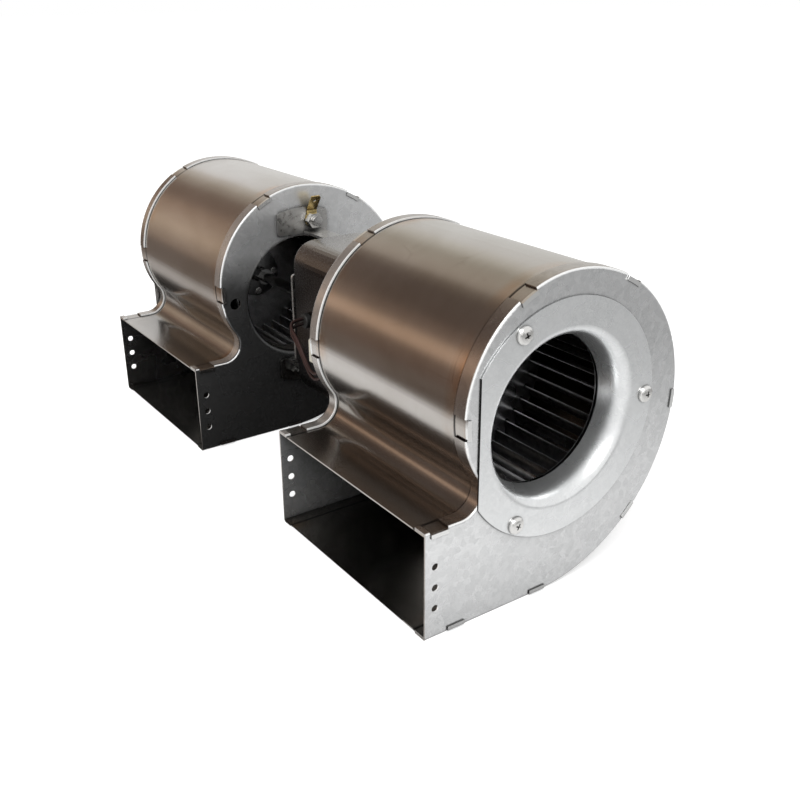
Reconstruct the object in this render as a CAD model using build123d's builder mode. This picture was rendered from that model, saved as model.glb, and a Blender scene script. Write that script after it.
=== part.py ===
# Twin centrifugal fan: two sheet-metal scroll housings either side of one double-shafted motor.
# All sizes are millimetres. X runs along the shaft, the outlets face -Y and +Z is up.
# The origin is under the middle of the fan, level with the housings' flat bottoms.

from build123d import *
from math import asin, cos, degrees, radians, sin, sqrt, tan
import os

os.makedirs("parts", exist_ok=True)

# Housings
housing_width = 150.0        # over the two side plates of one housing
housing_gap = 122.6          # between the two inner side plates
plate_sheet = 1.0            # side plate thickness
wrap_sheet = 0.8             # wrapper thickness
wrap_fit = 0.15              # between the wrapper and the flange around it
flange_depth = 9.0           # how far a side plate's flange reaches over the wrapper
bend_radius = 1.5            # outside radius of the flange bend
outlet_reach = 88.3          # shaft axis to the outlet mouth
outlet_top = -40.15          # top of the outlet duct, from the shaft axis
scroll_start_radius = 52.45  # wrapper radius of the last quarter, by the tongue
scroll_step = 15.1           # growth of the wrapper radius in each quarter turn
scroll_middle_y = -3.85      # middle of the scroll's four centres, from the shaft axis
scroll_middle_z = 3.95
tongue_radius = 13.65        # hollow curve from the scroll down to the outlet duct

# Wrapper tabs, folded over the side plates
tab_angles = (-81.0, -21.0, 34.0, 96.0, 142.0)  # from straight up towards +Y
top_tab_inset = 8.8          # outlet mouth to the middle of a tab
bottom_tab_insets = (19.8, 76.3)
tab_width = 11.0
tab_fold = 2.4               # length folded over the side plate
notch_clearance = 0.6

# Inlets
throat_radius = 42.8
bell_depth = 18.0            # outer face of the inlet ring to the end of its throat
bell_flare = 8.2             # how much wider the bell's mouth is than its throat
ring_sheet = 1.0
ring_radius = 66.4
ring_flat_y = -56.0          # straight side of the inlet ring
wheel_opening_radius = 54.6  # hole under the inlet ring, for putting the wheel in
ring_screw_circle = 60.8
ring_screw_angles = (-30.0, 90.0, 210.0)
collar_bend = 3.0            # bend where the inner side plate turns into its collar

# Outlet holes, three in a line on each side plate
outlet_hole_radius = 2.1
outlet_hole_pitch = 12.4
outlet_hole_inset = 6.3      # outlet mouth to the holes
outlet_hole_z = -72.2
spare_hole_radius = 4.0      # plain hole beside each inner inlet
spare_hole_y = -54.0
spare_hole_z = 2.5

# Wheels
wheel_radius = 52.0          # to the blade tips
blade_depth = 8.0            # inner edge of a blade to its tip, along the wheel's radius
blade_count = 34
blade_sheet = 0.5
blade_sweep = 66.0           # how far each blade's arc turns, in degrees
end_ring_sheet = 0.6
end_ring_band = 4.0
wheel_end_gap = 2.4          # between a wheel's end ring and the throat beside it
tip_clearance = 0.1
disc_sheet = 1.0
hub_radius = 6.0
hub_length = 16.0
hub_flange_radius = 18.0
hub_flange_sheet = 2.0
rivet_circle = 14.2
rivet_count = 4
rivet_radius = 1.6
rivet_head_radius = 2.8
rivet_head = 1.0

# Shaft and bearings
shaft_radius = 4.0
running_clearance = 0.03
press_clearance = 0.02
shaft_end = 3.0              # shaft standing past each hub
bush_radius = 8.0
bush_length = 13.0

# Motor
motor_width = 64.8
motor_height = 106.0
motor_depth = 30.0
motor_corner = 16.0
motor_edge = 2.5
case_wall = 1.5
core_depth = 18.0
core_fit = 0.2
air_gap = 0.3
rotor_radius = 19.7
winding_inner_radius = 21.5
winding_outer_radius = 28.0
winding_head = 3.4
slot_count = 4
slot_radius = 25.0
slot_width = 8.0
slot_height = 4.0
slot_fit = 0.2
bearing_plate_overhang = 0.6  # past each side of the motor case
bearing_plate_height = 62.0
bearing_plate_sheet = 2.0
bearing_boss_radius = 12.0
bearing_plate_screw_y = 27.0
bearing_plate_screw_z = 22.0

# Motor arms: top ones lean towards +Y, bottom ones towards -Y
arm_sheet = 2.0
arm_y = 8.8
arm_z = 47.0                 # middle of the arm's long strap
arm_width = 14.4
plate_foot_width = 40.0
plate_foot_shift = 1.5       # middle of the wide foot, past the shaft axis
plate_foot_z = 55.0          # bolt through the side plate
plate_foot_radius = 64.5     # the foot's far edge runs round the shaft axis
motor_foot_z = 39.0          # bolt through the motor
motor_foot_bottom = 32.5
arm_bend = 1.5

# Fasteners
ring_screw_radius = 2.1
ring_screw_head_radius = 4.9
ring_screw_head = 2.8
ring_screw_length = 8.0
bolt_radius = 3.0
bolt_head_radius = 5.0
bolt_head = 2.6
nut_flats = 10.0
nut_height = 5.0
bolt_end = 2.0               # thread standing past a nut
small_screw_radius = 1.5
small_screw_head_radius = 2.8
small_screw_head = 1.6
small_screw_length = 6.0
set_screw_radius = 2.0
hole_clearance = 0.1

# Earth tab
tab_sheet = 0.8
earth_tab_width = 8.0
earth_bend_z = 62.0          # where the blade leans out towards the motor
earth_tab_lean = 35.0
earth_tab_length = 13.5
earth_tab_hole = 1.1
earth_ring_radius = 5.4

# Leads and their terminal block
lead_radius = 1.1
lead_spacing = 3.4
grommet_radius = 5.0
grommet_length = 4.0
lead_exit_x = 3.0
lead_exit_z = 4.0
lead_stand_off = 7.8         # straight out of the grommet
lead_turn_x = 6.0            # from the grommet to where the leads have turned along the shaft
lead_turn_drop = 2.5
lead_slack_x = 17.0          # to the last point before they droop
lead_slack_drop = 7.0
lead_droop_x = 30.0          # to the middle of the droop
lead_droop_rise = 4.5        # that point above the lowest one
lead_low_x = 41.0            # to the lowest point
lead_low_z = -17.5
lead_spread = 4.0            # how far the droop stands off the line between its ends
lead_rise_x = 4.5            # lowest stretch, short of the block
lead_rise_z = 1.5
lead_tail = 6.3              # straight up into the block's foot
block_depth = 11.0
block_width = 10.0
block_height = 15.0
block_edge = 1.0
clip_radius = 7.0
clip_sheet = 0.6

# Worked out from the values above
inner_face = housing_gap / 2
outer_face = inner_face + housing_width
housing_middle = inner_face + housing_width / 2
flange_grow = wrap_fit + plate_sheet
half_step = scroll_step / 2
scroll_centres = (
    (scroll_middle_y - half_step, scroll_middle_z + half_step),
    (scroll_middle_y + half_step, scroll_middle_z + half_step),
    (scroll_middle_y + half_step, scroll_middle_z - half_step),
    (scroll_middle_y - half_step, scroll_middle_z - half_step),
)
scroll_radii = [scroll_start_radius + quarter * scroll_step for quarter in range(4)]
scroll_bottom = scroll_centres[3][1] - scroll_radii[3]
scroll_rear = scroll_centres[2][0] + scroll_radii[2]
axis_z = -scroll_bottom + flange_grow
axis_y = (outlet_reach - scroll_rear - flange_grow) / 2
blade_inner_radius = wheel_radius - blade_depth
wheel_half = housing_width / 2 + ring_sheet - bell_depth - wheel_end_gap
blade_half = wheel_half - end_ring_sheet
collar_depth = bell_depth - ring_sheet
motor_half = motor_depth / 2
core_half = core_depth / 2
bearing_face = motor_half + bearing_plate_sheet
shaft_axis = Axis((0, axis_y, axis_z), (1, 0, 0))


def cross_plane(x):
    """Plane square to the shaft at x, with its own x along +Y and its own y along +Z."""
    return Plane(origin=(x, axis_y, axis_z), x_dir=(0, 1, 0), z_dir=(1, 0, 0))


def axial_plane(x=0.0, y=0.0):
    """Plane along the shaft, with its own x along +X and its own y along +Z."""
    return Plane(origin=(x, axis_y + y, axis_z), x_dir=(1, 0, 0), z_dir=(0, -1, 0))


def polar(radius, angle):
    """Point at an angle from straight up towards +Y, in a cross plane."""
    return (radius * sin(radians(angle)), radius * cos(radians(angle)))


def finish(part, name):
    """Name one finished piece and write it."""
    part.label = name
    export_step(part, "parts/" + name + ".step")


def finish_pair(part, name):
    """Write a piece of the right-hand side and its mirror image on the left."""
    finish(part, "right_" + name)
    finish(mirror(part, about=Plane.YZ), "left_" + name)


def scroll_face(grow):
    """Scroll and outlet duct in one outline, grown outwards from the wrapper's outer face."""
    start_y, start_z = scroll_centres[0]
    reach = scroll_radii[0] + tongue_radius
    hollow_z = outlet_top + tongue_radius
    hollow_y = start_y - sqrt(reach**2 - (hollow_z - start_z) ** 2)
    turn = degrees(asin((start_z - hollow_z) / reach))
    top = outlet_top + grow
    bottom = scroll_bottom - grow
    with BuildSketch() as scroll:
        with BuildLine():
            Line((-outlet_reach, bottom), (scroll_centres[3][0], bottom))
            CenterArc(scroll_centres[3], scroll_radii[3] + grow, -90, 90)
            CenterArc(scroll_centres[2], scroll_radii[2] + grow, 0, 90)
            CenterArc(scroll_centres[1], scroll_radii[1] + grow, 90, 90)
            CenterArc(scroll_centres[0], scroll_radii[0] + grow, 180, turn)
            CenterArc((hollow_y, hollow_z), tongue_radius - grow, -90, 90 + turn)
            Line((hollow_y, top), (-outlet_reach, top))
            Line((-outlet_reach, top), (-outlet_reach, bottom))
        make_face()
    return scroll.sketch


def scroll_strip(outside, inside):
    """The band between two outlines of the scroll, open at the outlet's mouth."""
    with BuildSketch() as strip:
        add(scroll_face(outside))
        add(scroll_face(inside), mode=Mode.SUBTRACT)
    return strip.sketch


def tab_strips(outside, inside, width):
    """The pieces of such a band that lie where the wrapper has its tabs."""
    with BuildSketch() as strips:
        add(scroll_strip(outside, inside))
        add(tab_windows(width), mode=Mode.INTERSECT)
    return strips.sketch


def tab_windows(width):
    """Strips that cross the outline where the wrapper has its tabs."""
    with BuildSketch() as windows:
        for angle in tab_angles:
            with Locations(Location((0, 0, 0), (0, 0, -angle))):
                Rectangle(width, 2 * outlet_reach, align=(Align.CENTER, Align.MIN))
        with Locations((top_tab_inset - outlet_reach, outlet_top)):
            Rectangle(width, 4 * tab_fold)
        for inset in bottom_tab_insets:
            with Locations((inset - outlet_reach, scroll_bottom)):
                Rectangle(width, 4 * tab_fold)
    return windows.sketch


def flanged_plate(face_x, inward):
    """Side plate with its bent flange, tab notches and outlet holes, before its inlet is cut."""
    with BuildPart() as plate:
        with BuildSketch(cross_plane(face_x)):
            add(scroll_face(flange_grow))
        extrude(amount=inward * plate_sheet)
        with BuildSketch(cross_plane(face_x)):
            add(scroll_strip(flange_grow, wrap_fit))
        extrude(amount=inward * flange_depth)
        outer = plate.faces().filter_by(Axis.X).sort_by(Axis.X)[0 if inward > 0 else -1]
        rim = outer.edges().filter_by(lambda edge: edge.center().Y > axis_y - outlet_reach + bend_radius)
        fillet(rim, radius=bend_radius)
        with BuildSketch(cross_plane(face_x)):
            add(tab_strips(2 * flange_grow, -wrap_sheet - wrap_fit, tab_width + notch_clearance))
        extrude(amount=inward * flange_depth, mode=Mode.SUBTRACT)
        with BuildSketch(cross_plane(face_x)):
            with Locations((outlet_hole_inset - outlet_reach, outlet_hole_z)):
                with GridLocations(0, outlet_hole_pitch, 1, 3):
                    Circle(outlet_hole_radius)
        extrude(amount=inward * plate_sheet, mode=Mode.SUBTRACT)
    return plate.part


def domed_heads(seat_x, outward, places, radius, height):
    """Round screw or bolt heads with a domed top, standing on a face at seat_x."""
    with BuildPart() as heads:
        with BuildSketch(cross_plane(seat_x)):
            with Locations(*places):
                Circle(radius)
        extrude(amount=outward * height)
        tops = heads.faces().filter_by(Axis.X).group_by(Axis.X)[-1 if outward > 0 else 0]
        fillet(tops.edges(), radius=0.7 * height)
    return heads.part


def shanks(start_x, length, places, radius):
    """Plain round shanks along the shaft's direction."""
    with BuildPart() as rods:
        with BuildSketch(cross_plane(start_x)):
            with Locations(*places):
                Circle(radius)
        extrude(amount=length)
    return rods.part


def hex_nut(seat_x, outward, place):
    """Threaded nut on a face at seat_x, with the corners of its outer end eased."""
    with BuildPart() as nut:
        with BuildSketch(cross_plane(seat_x)):
            with Locations(place):
                RegularPolygon(nut_flats / 2, 6, major_radius=False)
        extrude(amount=outward * nut_height)
        with BuildSketch(cross_plane(seat_x)):
            with Locations(place):
                Circle(bolt_radius + hole_clearance)
        extrude(amount=outward * nut_height, mode=Mode.SUBTRACT)
    return nut.part


def case_block(width, height, corner, edge, depth):
    """Rounded block from the motor's middle plane towards +X, with softened outer edges."""
    with BuildPart() as block:
        with BuildSketch(cross_plane(0)):
            RectangleRounded(width, height, corner)
        extrude(amount=depth)
        fillet(block.faces().sort_by(Axis.X)[-1].edges(), radius=edge)
    return block.part


# Wrapper: a strip bent around the scroll, with tabs that lock it to both side plates
with BuildPart() as scroll_wrapper:
    with BuildSketch(cross_plane(inner_face + plate_sheet)):
        add(scroll_strip(0, -wrap_sheet))
    extrude(amount=housing_width - 2 * plate_sheet)
    for face_x, outward in ((inner_face, -1), (outer_face, 1)):
        with BuildSketch(cross_plane(face_x - outward * plate_sheet)):
            add(tab_strips(0, -wrap_sheet, tab_width))
        extrude(amount=outward * (plate_sheet + wrap_sheet))
        with BuildSketch(cross_plane(face_x)):
            add(tab_strips(0, -tab_fold, tab_width))
        extrude(amount=outward * wrap_sheet)
finish_pair(scroll_wrapper.part, "scroll_wrapper")

# Outer side plate: its big hole lets the wheel in
ring_screw_places = [polar(ring_screw_circle, angle) for angle in ring_screw_angles]
with BuildPart() as outer_side_plate:
    add(flanged_plate(outer_face, -1))
    with BuildSketch(cross_plane(outer_face)):
        Circle(wheel_opening_radius)
        with Locations(*ring_screw_places):
            Circle(ring_screw_radius + hole_clearance)
    extrude(amount=-plate_sheet, mode=Mode.SUBTRACT)
finish_pair(outer_side_plate.part, "outer_side_plate")

# Inner side plate: drawn inwards around its inlet, drilled for the motor arms
collar_edge = throat_radius + collar_bend + plate_sheet
arm_bolt_places = [(arm_y, plate_foot_z), (-arm_y, -plate_foot_z)]
with BuildPart() as inner_side_plate:
    add(flanged_plate(inner_face, 1))
    with BuildSketch(cross_plane(inner_face)):
        Circle(collar_edge)
        with Locations(*arm_bolt_places):
            Circle(bolt_radius + hole_clearance)
        with Locations((spare_hole_y, spare_hole_z)):
            Circle(spare_hole_radius)
    extrude(amount=plate_sheet, mode=Mode.SUBTRACT)
    with BuildSketch(axial_plane(inner_face)):
        with BuildLine():
            flow = CenterArc((collar_bend + plate_sheet, collar_edge), collar_bend + plate_sheet, 180, 90)
            back = CenterArc((collar_bend + plate_sheet, collar_edge), collar_bend, 180, 90)
            Line(flow @ 0, back @ 0)
            throat_edge = (collar_depth, throat_radius)
            collar_rim = (collar_depth, throat_radius + plate_sheet)
            Polyline(flow @ 1, throat_edge, collar_rim, back @ 1)
        make_face()
    revolve(axis=shaft_axis)
finish_pair(inner_side_plate.part, "inner_side_plate")

# Inlet ring: a drawn bell mouth with one straight side, screwed over the wheel opening
bell_mouth = throat_radius + bell_flare
back_depth = bell_depth - ring_sheet
back_flare = bell_flare - ring_sheet
with BuildPart() as inlet_ring:
    with BuildSketch(axial_plane(outer_face + ring_sheet)):
        with BuildLine():
            bell_centre = (-bell_depth, bell_mouth)
            flow = EllipticalCenterArc(bell_centre, bell_depth, bell_flare, 270, arc_size=90)
            back = EllipticalCenterArc(bell_centre, back_depth, back_flare, 270, arc_size=90)
            Line(flow @ 0, back @ 0)
            Polyline(flow @ 1, (0, ring_radius), (-ring_sheet, ring_radius), back @ 1)
        make_face()
    revolve(axis=shaft_axis)
    with BuildSketch(cross_plane(outer_face)):
        with Locations((ring_flat_y, 0)):
            Rectangle(ring_radius, 2 * ring_radius, align=(Align.MAX, Align.CENTER))
        with Locations(*ring_screw_places):
            Circle(ring_screw_radius + hole_clearance)
    extrude(amount=ring_sheet, mode=Mode.SUBTRACT)
finish_pair(inlet_ring.part, "inlet_ring")

with BuildPart() as inlet_ring_screws:
    ring_seat = outer_face + ring_sheet
    add(domed_heads(ring_seat, 1, ring_screw_places, ring_screw_head_radius, ring_screw_head))
    add(shanks(ring_seat, -ring_screw_length, ring_screw_places, ring_screw_radius))
finish_pair(inlet_ring_screws.part, "inlet_ring_screws")

# One forward-curved blade, its inner edge on the sketch's x axis
sweep_sine = sin(radians(blade_sweep))
sweep_spread = 2 - 2 * cos(radians(blade_sweep))
tip_reach = (blade_inner_radius * sweep_sine) ** 2 + sweep_spread * (wheel_radius**2 - blade_inner_radius**2)
blade_arc_radius = (sqrt(tip_reach) - blade_inner_radius * sweep_sine) / sweep_spread
blade_chord = 2 * blade_arc_radius * sin(radians(blade_sweep / 2))
blade_bulge = blade_arc_radius * (1 - cos(radians(blade_sweep / 2)))
with BuildSketch() as blade_face:
    with BuildLine():
        arc_centre = (blade_inner_radius, -blade_arc_radius)
        outside = CenterArc(arc_centre, blade_arc_radius + blade_sheet / 2, 90 - blade_sweep, blade_sweep)
        inside = CenterArc(arc_centre, blade_arc_radius - blade_sheet / 2, 90 - blade_sweep, blade_sweep)
        Line(outside @ 0, inside @ 0)
        Line(outside @ 1, inside @ 1)
    make_face()

# The slot in the disc's rim that one blade lies in, open at the rim
with BuildSketch() as slot_face:
    with Locations(Location((blade_inner_radius, 0, 0), (0, 0, -blade_sweep / 2))):
        with Locations((-tip_clearance - blade_sheet, blade_bulge / 2)):
            slot_across = blade_bulge + blade_sheet + 2 * tip_clearance
            Rectangle(blade_chord + 4 * blade_sheet, slot_across, align=(Align.MIN, Align.CENTER))

# Wheel: separate blades between two end rings, carried by a slotted disc
with BuildPart() as wheel_blades:
    with BuildSketch(cross_plane(housing_middle - blade_half)):
        with PolarLocations(0, blade_count):
            add(blade_face.sketch)
    extrude(amount=2 * blade_half)
finish_pair(wheel_blades.part, "wheel_blades")

band_inner = wheel_radius + blade_sheet / 2 + tip_clearance
with BuildPart() as wheel_end_rings:
    for end in (1, -1):
        with BuildSketch(cross_plane(housing_middle + end * blade_half)):
            Circle(band_inner + end_ring_sheet)
            Circle(blade_inner_radius - blade_sheet, mode=Mode.SUBTRACT)
        extrude(amount=end * end_ring_sheet)
        with BuildSketch(cross_plane(housing_middle + end * blade_half)):
            Circle(band_inner + end_ring_sheet)
            Circle(band_inner, mode=Mode.SUBTRACT)
        extrude(amount=-end * end_ring_band)
finish_pair(wheel_end_rings.part, "wheel_end_rings")

with BuildPart() as wheel_disc:
    with BuildSketch(cross_plane(housing_middle - disc_sheet / 2)):
        Circle(wheel_radius)
        Circle(shaft_radius + hole_clearance, mode=Mode.SUBTRACT)
        with PolarLocations(rivet_circle, rivet_count):
            Circle(rivet_radius + hole_clearance, mode=Mode.SUBTRACT)
        with PolarLocations(0, blade_count):
            add(slot_face.sketch, mode=Mode.SUBTRACT)
    extrude(amount=disc_sheet)
finish_pair(wheel_disc.part, "wheel_disc")

# Hub: its flange is riveted to the disc, and a set screw clamps it on the shaft
hub_seat = housing_middle - disc_sheet / 2
set_screw_x = hub_seat - (hub_flange_sheet + hub_length) / 2
with BuildPart() as wheel_hub:
    with BuildSketch(cross_plane(hub_seat)):
        Circle(hub_flange_radius)
        with PolarLocations(rivet_circle, rivet_count):
            Circle(rivet_radius + hole_clearance, mode=Mode.SUBTRACT)
    extrude(amount=-hub_flange_sheet)
    with BuildSketch(cross_plane(hub_seat)):
        Circle(hub_radius)
    extrude(amount=-hub_length)
    with BuildSketch(cross_plane(hub_seat)):
        Circle(shaft_radius + press_clearance)
    extrude(amount=-hub_length, mode=Mode.SUBTRACT)
    with BuildSketch(Plane.XY.offset(axis_z)):
        with Locations((set_screw_x, axis_y)):
            Circle(set_screw_radius + hole_clearance)
    extrude(amount=hub_radius, mode=Mode.SUBTRACT)
finish_pair(wheel_hub.part, "wheel_hub")

set_screw_foot = axis_z + shaft_radius + press_clearance
set_screw_length = hub_radius - shaft_radius
with BuildPart() as hub_set_screw:
    with BuildSketch(Plane.XY.offset(set_screw_foot)):
        with Locations((set_screw_x, axis_y)):
            Circle(set_screw_radius)
    extrude(amount=set_screw_length)
    with BuildSketch(Plane.XY.offset(set_screw_foot + set_screw_length)):
        with Locations((set_screw_x, axis_y)):
            RegularPolygon(set_screw_radius / 2, 6)
    extrude(amount=-set_screw_length / 2, mode=Mode.SUBTRACT)
finish_pair(hub_set_screw.part, "hub_set_screw")

rivet_places = [polar(rivet_circle, 360 * turn / rivet_count) for turn in range(rivet_count)]
disc_back = hub_seat + disc_sheet
flange_front = hub_seat - hub_flange_sheet
with BuildPart() as hub_rivets:
    add(domed_heads(disc_back, 1, rivet_places, rivet_head_radius, rivet_head))
    add(domed_heads(flange_front, -1, rivet_places, rivet_head_radius, rivet_head))
    add(shanks(flange_front, disc_back - flange_front, rivet_places, rivet_radius))
finish_pair(hub_rivets.part, "hub_rivets")

# Motor arms: Z-shaped straps, a wide foot on the side plate and a narrow one on the motor
arm_low = arm_z - arm_sheet / 2
arm_high = arm_z + arm_sheet / 2
for arm_name, up in (("motor_arm_top", 1), ("motor_arm_bottom", -1)):
    with BuildPart() as motor_arm:
        with BuildSketch(axial_plane(y=up * arm_y)):
            with BuildLine():
                Polyline(
                    (motor_half, up * motor_foot_bottom),
                    (motor_half, up * arm_high),
                    (inner_face, up * arm_high),
                    (inner_face, up * arm_low),
                    (motor_half + arm_sheet, up * arm_low),
                    (motor_half + arm_sheet, up * motor_foot_bottom),
                    close=True,
                )
            make_face()
        extrude(amount=arm_width / 2, both=True)
        outer_bend = (motor_half, axis_y + up * arm_y, axis_z + up * arm_high)
        fillet(motor_arm.edges().filter_by(Axis.Y).sort_by_distance(outer_bend)[0], radius=arm_bend)
        with BuildSketch(cross_plane(inner_face)):
            Circle(plate_foot_radius)
            with Locations((up * plate_foot_shift, up * (arm_low + plate_foot_radius) / 2)):
                Rectangle(plate_foot_width, plate_foot_radius - arm_low, mode=Mode.INTERSECT)
        extrude(amount=-arm_sheet)
        corners = motor_arm.edges().filter_by(Axis.X).filter_by(lambda edge: edge.length < 1.01 * arm_sheet)
        fillet(corners, radius=arm_sheet)
        with BuildSketch(cross_plane(motor_half)):
            with Locations((up * arm_y, up * plate_foot_z), (up * arm_y, up * motor_foot_z)):
                Circle(bolt_radius + hole_clearance)
        extrude(amount=housing_gap, mode=Mode.SUBTRACT)
    finish_pair(motor_arm.part, arm_name)

# Bolts and nuts that hold the arms to the side plates
bolt_seat = inner_face + plate_sheet
nut_seat = inner_face - arm_sheet
with BuildPart() as plate_bolts:
    shank_end = nut_seat - tab_sheet - nut_height - bolt_end
    add(domed_heads(bolt_seat, 1, arm_bolt_places, bolt_head_radius, bolt_head))
    add(shanks(shank_end, bolt_seat - shank_end, arm_bolt_places, bolt_radius))
finish_pair(plate_bolts.part, "plate_bolts")

right_nuts = [(arm_bolt_places[0], nut_seat), (arm_bolt_places[1], nut_seat)]
left_nuts = [(arm_bolt_places[0], nut_seat - tab_sheet), (arm_bolt_places[1], nut_seat)]
for nuts_name, seats in (("right_plate_nuts", right_nuts), ("left_plate_nuts", left_nuts)):
    with BuildPart() as plate_nuts:
        for place, seat in seats:
            add(hex_nut(seat, -1, place))
    if nuts_name.startswith("left"):
        finish(mirror(plate_nuts.part, about=Plane.YZ), nuts_name)
    else:
        finish(plate_nuts.part, nuts_name)

# Earth tab: a ring under the left top nut, with a push-on blade that leans out towards the motor
tab_back = -nut_seat
blade_foot = Plane(
    origin=(tab_back, axis_y + arm_y, axis_z + earth_bend_z),
    x_dir=(0, 1, 0),
    z_dir=(cos(radians(earth_tab_lean)), 0, -sin(radians(earth_tab_lean))),
)
with BuildPart() as earth_tab:
    with BuildSketch(cross_plane(tab_back)):
        with Locations((arm_y, plate_foot_z)):
            Circle(earth_ring_radius)
            Rectangle(earth_tab_width, earth_bend_z - plate_foot_z, align=(Align.CENTER, Align.MIN))
            Circle(bolt_radius + hole_clearance, mode=Mode.SUBTRACT)
    extrude(amount=tab_sheet)
    with BuildSketch(blade_foot) as blade_face:
        Rectangle(earth_tab_width, earth_tab_length, align=(Align.CENTER, Align.MIN))
        chamfer(blade_face.vertices().sort_by(Axis.Z)[-2:], length=earth_tab_width / 5)
        with Locations((0, earth_tab_length * 0.65)):
            Circle(earth_tab_hole, mode=Mode.SUBTRACT)
    extrude(amount=tab_sheet)
finish(earth_tab.part, "earth_tab")

# Motor case: two drawn halves that meet in the motor's middle plane
through_places = [(arm_y, motor_foot_z), (-arm_y, -motor_foot_z)]
plate_screw_places = [
    (across * bearing_plate_screw_y, up * bearing_plate_screw_z) for across in (1, -1) for up in (1, -1)
]
cavity_width = motor_width - 2 * case_wall
cavity_height = motor_height - 2 * case_wall
cavity_corner = motor_corner - case_wall
with BuildPart() as motor_case_half:
    add(case_block(motor_width, motor_height, motor_corner, motor_edge, motor_half))
    cavity = case_block(
        cavity_width, cavity_height, cavity_corner, motor_edge - case_wall, motor_half - case_wall
    )
    add(cavity, mode=Mode.SUBTRACT)
    with BuildSketch(cross_plane(0)):
        Circle(bush_radius)
        with Locations(*through_places):
            Circle(bolt_radius + hole_clearance)
        with Locations(*plate_screw_places):
            Circle(small_screw_radius + hole_clearance)
    extrude(amount=motor_half, mode=Mode.SUBTRACT)
    with BuildSketch(Plane.XZ.offset(-axis_y)):
        with Locations((lead_exit_x, axis_z + lead_exit_z)):
            Circle(grommet_radius - case_wall)
    lead_hole = extrude(amount=motor_width / 2 + case_wall, mode=Mode.PRIVATE)
case_right = motor_case_half.part - lead_hole
case_left = mirror(motor_case_half.part, about=Plane.YZ) - lead_hole
finish(case_right, "motor_case_right")
finish(case_left, "motor_case_left")

# Stator core: stacked sheet with a round bore and four winding slots
core_width = cavity_width - 2 * core_fit
core_height = cavity_height - 2 * core_fit
bore_radius = rotor_radius + air_gap
with BuildPart() as stator_core:
    with BuildSketch(cross_plane(-core_half)):
        RectangleRounded(core_width, core_height, cavity_corner - core_fit)
        Circle(bore_radius, mode=Mode.SUBTRACT)
        with Locations(*through_places):
            Circle(bolt_radius + hole_clearance, mode=Mode.SUBTRACT)
        with PolarLocations(slot_radius, slot_count, start_angle=180 / slot_count):
            Rectangle(slot_height, slot_width, mode=Mode.SUBTRACT)
    extrude(amount=core_depth)
finish(stator_core.part, "stator_core")

with BuildPart() as stator_windings:
    for end in (1, -1):
        with BuildSketch(cross_plane(end * core_half)):
            Circle(winding_outer_radius)
            Circle(winding_inner_radius, mode=Mode.SUBTRACT)
        extrude(amount=end * winding_head)
        fillet(stator_windings.faces().sort_by(Axis.X)[-1 if end > 0 else 0].edges(), radius=winding_head / 3)
    with BuildSketch(cross_plane(-core_half)):
        with PolarLocations(slot_radius, slot_count, start_angle=180 / slot_count):
            Rectangle(slot_height - 2 * slot_fit, slot_width - 2 * slot_fit)
    extrude(amount=core_depth)
finish(stator_windings.part, "stator_windings")

with BuildPart() as rotor_core:
    with BuildSketch(cross_plane(-core_half)):
        Circle(rotor_radius)
        Circle(shaft_radius + press_clearance, mode=Mode.SUBTRACT)
    extrude(amount=core_depth)
finish(rotor_core.part, "rotor_core")

shaft_half = hub_seat + shaft_end
with BuildPart() as motor_shaft:
    with BuildSketch(cross_plane(-shaft_half)):
        Circle(shaft_radius)
    extrude(amount=2 * shaft_half)
    chamfer(motor_shaft.faces().filter_by(Axis.X).edges(), length=shaft_radius / 8)
finish(motor_shaft.part, "motor_shaft")

# Bearing plates: flat on the motor's faces, with a raised boss around a sintered bush
with BuildPart() as bearing_plate:
    with BuildSketch(cross_plane(motor_half)):
        RectangleRounded(motor_width + 2 * bearing_plate_overhang, bearing_plate_height, motor_edge)
        with Locations(*plate_screw_places):
            Circle(small_screw_radius + hole_clearance, mode=Mode.SUBTRACT)
    extrude(amount=bearing_plate_sheet)
    with BuildSketch(cross_plane(motor_half)):
        Circle(bearing_boss_radius)
    extrude(amount=bush_length)
    fillet(bearing_plate.faces().sort_by(Axis.X)[-1].edges(), radius=bearing_plate_sheet)
    with BuildSketch(cross_plane(motor_half)):
        Circle(bush_radius + press_clearance)
    extrude(amount=bush_length, mode=Mode.SUBTRACT)
finish_pair(bearing_plate.part, "bearing_plate")

with BuildPart() as bearing_bush:
    with BuildSketch(cross_plane(motor_half)):
        Circle(bush_radius)
        Circle(shaft_radius + running_clearance, mode=Mode.SUBTRACT)
    extrude(amount=bush_length)
finish_pair(bearing_bush.part, "bearing_bush")

with BuildPart() as bearing_plate_screws:
    add(domed_heads(bearing_face, 1, plate_screw_places, small_screw_head_radius, small_screw_head))
    add(shanks(bearing_face, -small_screw_length, plate_screw_places, small_screw_radius))
finish_pair(bearing_plate_screws.part, "bearing_plate_screws")

# Long bolts that clamp both arms, both case halves and the core together
with BuildPart() as through_bolts:
    foot_face = motor_half + arm_sheet
    add(domed_heads(-foot_face, -1, through_places, bolt_head_radius, bolt_head))
    add(shanks(-foot_face, 2 * foot_face + nut_height + bolt_end, through_places, bolt_radius))
finish(through_bolts.part, "motor_through_bolts")

with BuildPart() as through_nuts:
    for place in through_places:
        add(hex_nut(foot_face, 1, place))
finish(through_nuts.part, "motor_through_nuts")

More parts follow.
